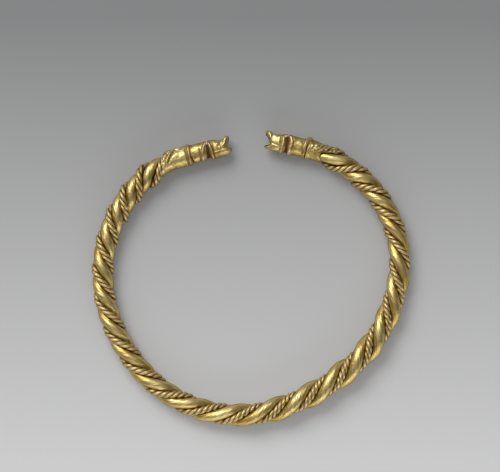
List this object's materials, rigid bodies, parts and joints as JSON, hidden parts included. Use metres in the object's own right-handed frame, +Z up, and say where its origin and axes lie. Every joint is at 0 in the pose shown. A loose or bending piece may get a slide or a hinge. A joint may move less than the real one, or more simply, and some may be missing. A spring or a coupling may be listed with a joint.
{
  "type": "gold arm ring",
  "caption": "Open arm ring of thick rods twisted together, with twisted wires in the grooves and a small animal's head on each end.",
  "frame": {"origin": "under the middle of the ring, on the surface that it lies on", "axes": "+Z up through the hoop's opening, +Y towards the gap between the heads, +X towards the right head's side"},
  "size_m": [0.0753, 0.0699, 0.0059],
  "materials": {
    "rod_gold": "old worn gold, softly polished",
    "wire_gold": "old gold, dull in the grooves",
    "head_gold": "old gold with reddish deposits in the hollows"
  },
  "bodies": {
    "root": {"rod_a": "rod_gold", "rod_b": "rod_gold", "twisted_wire_a": "wire_gold", "twisted_wire_b": "wire_gold", "left_head": "head_gold", "right_head": "head_gold"}
  },
  "joints": []
}
